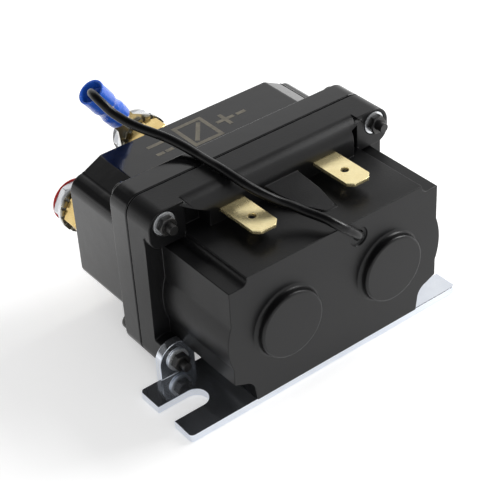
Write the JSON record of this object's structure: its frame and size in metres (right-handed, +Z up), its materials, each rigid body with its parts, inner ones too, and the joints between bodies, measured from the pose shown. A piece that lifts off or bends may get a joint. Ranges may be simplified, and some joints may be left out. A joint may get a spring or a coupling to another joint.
{
  "type": "winch relay",
  "caption": "Double-coil winch relay that reverses a motor: black coil housing and contact cover on a slotted steel plate, blade terminals, threaded studs and a ground wire.",
  "frame": {"origin": "middle of the fixing slots' centreline on the underside of the mounting plate", "axes": "+Y from the coil end towards the four studs, +Z up from the plate, +X to the right as seen from the coil end"},
  "size_m": [0.0744, 0.0668, 0.0517],
  "materials": {
    "zinc_plate": "bright zinc plating, lightly smeared",
    "zinc_washer": "bright zinc plating",
    "housing_plastic": "satin black moulding",
    "cover_plastic": "glossy black moulding",
    "gasket_rubber": "matt black",
    "black_steel": "black oxide",
    "soft_iron": "plain machined",
    "guide_board": "phenolic board",
    "bobbin_nylon": "natural nylon",
    "rod_nylon": "natural nylon",
    "magnet_wire": "enamelled copper",
    "contact_copper": "bare copper with silver-faced buttons",
    "spring_steel": "bright wire",
    "blade_brass": "bright brass",
    "zinc_nut": "bright zinc plating",
    "stud_brass": "bright brass, threaded",
    "toothed_bronze": "dark passivated",
    "tinned_copper": "tin plating",
    "ring_red": "coloured plastic",
    "ring_white": "coloured plastic",
    "ring_yellow": "coloured plastic",
    "ring_blue": "coloured plastic",
    "sleeve_blue": "blue vinyl",
    "wire_black": "satin black insulation"
  },
  "bodies": {
    "case": {"mounting_plate": "zinc_plate", "coil_housing": "housing_plastic", "gasket": "gasket_rubber", "contact_cover": "cover_plastic", "case_screws": "black_steel", "case_nuts": "black_steel", "case_washers": "zinc_washer", "pole_plate": "soft_iron", "guide_plate": "guide_board", "coil_can_left": "soft_iron", "coil_can_right": "soft_iron", "bobbin_left": "bobbin_nylon", "bobbin_right": "bobbin_nylon", "winding_left": "magnet_wire", "winding_right": "magnet_wire", "core_left": "soft_iron", "core_right": "soft_iron", "return_spring_left": "spring_steel", "return_spring_right": "spring_steel", "blade_terminal_left": "blade_brass", "blade_terminal_right": "blade_brass", "coil_leads": "magnet_wire", "ground_lead": "wire_black", "positive_bus": "contact_copper", "negative_bus": "contact_copper", "motor_contact_left": "contact_copper", "motor_contact_right": "contact_copper", "stud_left": "stud_brass", "stud_upper": "stud_brass", "stud_lower": "stud_brass", "stud_right": "stud_brass", "base_nuts": "stud_brass", "toothed_washers": "toothed_bronze", "flat_washers": "zinc_washer", "stud_nuts": "zinc_nut", "marker_ring_red": "ring_red", "marker_ring_white": "ring_white", "marker_ring_yellow": "ring_yellow", "marker_ring_blue": "ring_blue", "ring_terminal": "tinned_copper", "crimp_sleeve": "sleeve_blue", "ground_wire": "wire_black"},
    "left_plunger": {"plunger_left": "soft_iron", "contact_rod_left": "rod_nylon", "contact_bridge_left": "contact_copper", "rod_clip_left": "spring_steel", "contact_spring_left": "spring_steel"},
    "right_plunger": {"plunger_right": "soft_iron", "contact_rod_right": "rod_nylon", "contact_bridge_right": "contact_copper", "rod_clip_right": "spring_steel", "contact_spring_right": "spring_steel"}
  },
  "joints": [
    {"name": "left_plunger_slide", "type": "slide", "parent": "case", "child": "left_plunger", "axis": [0, -1, 0], "range_m": [0, 0.0029], "stiffness_N_per_m": 400, "springref_m": -0.003, "deforming": ["return_spring_left"]},
    {"name": "right_plunger_slide", "type": "slide", "parent": "case", "child": "right_plunger", "axis": [0, -1, 0], "range_m": [0, 0.0029], "stiffness_N_per_m": 400, "springref_m": -0.003, "deforming": ["return_spring_right"]}
  ]
}
